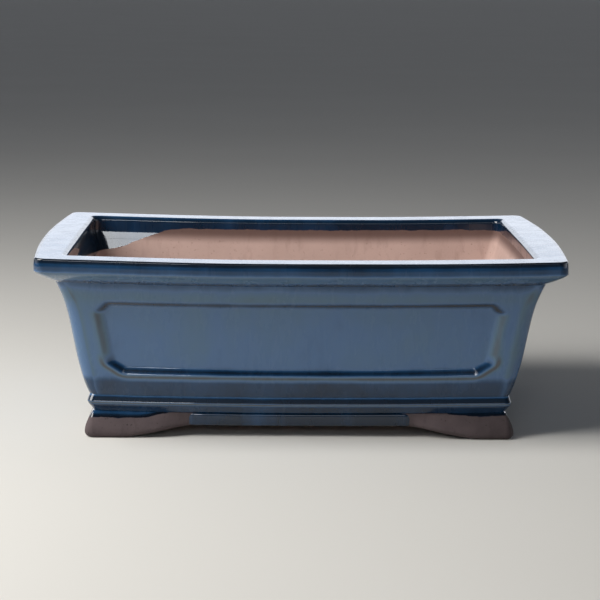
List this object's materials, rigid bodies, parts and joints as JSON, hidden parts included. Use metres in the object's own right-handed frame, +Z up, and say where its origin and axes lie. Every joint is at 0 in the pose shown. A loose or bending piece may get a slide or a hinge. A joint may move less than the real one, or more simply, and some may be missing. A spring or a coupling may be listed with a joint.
{
  "type": "bonsai pot",
  "caption": "Rectangular blue-glazed stoneware bonsai pot with a flat flared rim, sunken side panels, a rounded belt and flared corner feet, open on top with drain and wire holes in its floor.",
  "frame": {"origin": "on the ground, at the middle of the pot in plan", "axes": "+X along the long side, front faces -Y, +Z up out of the pot's mouth"},
  "size_m": [0.259, 0.19, 0.09],
  "materials": {
    "glaze": "glossy deep blue reactive glaze, thin and brown on sharp edges",
    "raw_clay": "unglazed pinkish beige stoneware, fine grit",
    "foot_clay": "unglazed dark mauve-brown stoneware, matt"
  },
  "bodies": {
    "root": {"floor_slab": "raw_clay", "front_wall": "glaze", "back_wall": "glaze", "left_wall": "glaze", "right_wall": "glaze", "rim_front": "glaze", "rim_back": "glaze", "rim_left": "glaze", "rim_right": "glaze", "belt_front": "glaze", "belt_back": "glaze", "belt_left": "glaze", "belt_right": "glaze", "apron_front": "glaze", "apron_back": "glaze", "apron_left": "glaze", "apron_right": "glaze", "foot_front_left": "foot_clay", "foot_front_right": "foot_clay", "foot_back_left": "foot_clay", "foot_back_right": "foot_clay"}
  },
  "joints": []
}
